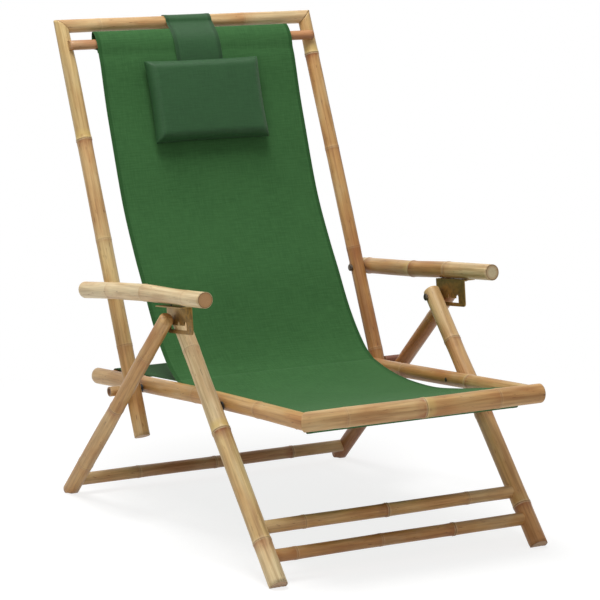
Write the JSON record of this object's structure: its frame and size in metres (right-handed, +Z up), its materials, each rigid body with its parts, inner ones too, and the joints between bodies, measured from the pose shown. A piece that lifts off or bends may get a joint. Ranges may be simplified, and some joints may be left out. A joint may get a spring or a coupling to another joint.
{
  "type": "folding recliner chair",
  "caption": "Folding recliner of bamboo poles with a fabric sling seat and back, a padded headrest, crossed legs and armrests with notched plates that set the back's lean.",
  "frame": {"origin": "on the floor, under the middle of the overall width and depth", "axes": "+X to the right seen from the front, +Y to the rear, +Z up"},
  "size_m": [0.6876, 1.0142, 0.9944],
  "materials": {
    "bamboo": "lacquered bamboo poles, satin",
    "green_canvas": "woven canvas, matte",
    "pillow_canvas": "woven canvas, matte",
    "brass_plate": "dull yellow plated sheet",
    "zinc_steel": "plated bolts and screws",
    "black_washer": "black washer"
  },
  "bodies": {
    "front_legs": {"front_leg_left": "bamboo", "front_leg_right": "bamboo", "front_crossbar_lower": "bamboo", "front_crossbar_upper": "bamboo", "leg_bolt_left": "zinc_steel", "leg_bolt_right": "zinc_steel", "leg_washer_left": "black_washer", "leg_washer_right": "black_washer", "top_pin_inner_left": "zinc_steel", "top_pin_inner_right": "zinc_steel"},
    "rear_legs": {"rear_leg_left": "bamboo", "rear_leg_right": "bamboo", "rear_crossbar": "bamboo", "top_pin_outer_left": "zinc_steel", "top_pin_outer_right": "zinc_steel"},
    "seat_frame": {"seat_rail_left": "bamboo", "seat_rail_right": "bamboo", "front_bar": "bamboo", "front_sling_bar": "bamboo", "rear_sling_bar": "bamboo", "sling_seat": "green_canvas"},
    "pivot_pegs": {"pivot_peg_left": "bamboo", "pivot_peg_right": "bamboo", "pivot_bolt_left": "zinc_steel", "pivot_bolt_right": "zinc_steel", "pivot_washer_left": "black_washer", "pivot_washer_right": "black_washer", "sling_bend": "green_canvas"},
    "back_frame": {"back_pole_left": "bamboo", "back_pole_right": "bamboo", "top_bar": "bamboo", "back_sling_bar": "bamboo", "sling_back": "green_canvas", "headrest_pillow": "pillow_canvas", "headrest_strap": "pillow_canvas"},
    "arm_bolt_left": {"arm_bolt_left": "zinc_steel", "arm_bolt_washer_left": "zinc_steel"},
    "arm_bolt_right": {"arm_bolt_right": "zinc_steel", "arm_bolt_washer_right": "zinc_steel"},
    "armrest_left": {"armrest_left": "bamboo", "bracket_left": "brass_plate", "bracket_screw_front_left": "zinc_steel", "bracket_screw_rear_left": "zinc_steel"},
    "armrest_right": {"armrest_right": "bamboo", "bracket_right": "brass_plate", "bracket_screw_front_right": "zinc_steel", "bracket_screw_rear_right": "zinc_steel"}
  },
  "joints": [
    {"name": "fold", "type": "hinge", "parent": "front_legs", "child": "seat_frame", "pos_m": [0, -0.19119, 0.2928], "axis": [-1, 0, 0], "range_deg": [0, 86], "deforming": ["sling_bend"]},
    {"name": "rear_leg_swing", "type": "hinge", "parent": "front_legs", "child": "rear_legs", "pos_m": [0, -0.05835, 0.43827], "axis": [-1, 0, 0], "range_deg": [0, 84]},
    {"name": "back_carrier", "type": "hinge", "parent": "seat_frame", "child": "pivot_pegs", "pos_m": [0, 0.16401, 0.26235], "axis": [-1, 0, 0], "range_deg": [-79.5, 0]},
    {"name": "recline", "type": "hinge", "parent": "pivot_pegs", "child": "back_frame", "pos_m": [0, 0.16401, 0.26235], "axis": [-1, 0, 0], "range_deg": [0, 19.4], "deforming": ["sling_bend"]},
    {"name": "arm_bolt_turn_left", "type": "hinge", "parent": "back_frame", "child": "arm_bolt_left", "pos_m": [0, 0.25151, 0.45435], "axis": [-1, 0, 0], "range_deg": [-14.4, 0]},
    {"name": "armrest_fold_left", "type": "hinge", "parent": "arm_bolt_left", "child": "armrest_left", "pos_m": [0, 0.25151, 0.45435], "axis": [-1, 0, 0], "range_deg": [0, 92.2]},
    {"name": "arm_bolt_turn_right", "type": "hinge", "parent": "back_frame", "child": "arm_bolt_right", "pos_m": [0, 0.25151, 0.45435], "axis": [-1, 0, 0], "range_deg": [-14.4, 0]},
    {"name": "armrest_fold_right", "type": "hinge", "parent": "arm_bolt_right", "child": "armrest_right", "pos_m": [0, 0.25151, 0.45435], "axis": [-1, 0, 0], "range_deg": [0, 92.2]}
  ],
  "couplings": [
    {"joint": "rear_leg_swing", "follows": "fold", "ratio": 0.97},
    {"joint": "back_carrier", "follows": "fold", "ratio": -0.92},
    {"joint": "arm_bolt_turn_left", "follows": "recline", "ratio": -0.736},
    {"joint": "armrest_fold_left", "follows": "fold", "ratio": 1.07},
    {"joint": "arm_bolt_turn_right", "follows": "recline", "ratio": -0.736},
    {"joint": "armrest_fold_right", "follows": "fold", "ratio": 1.07}
  ]
}
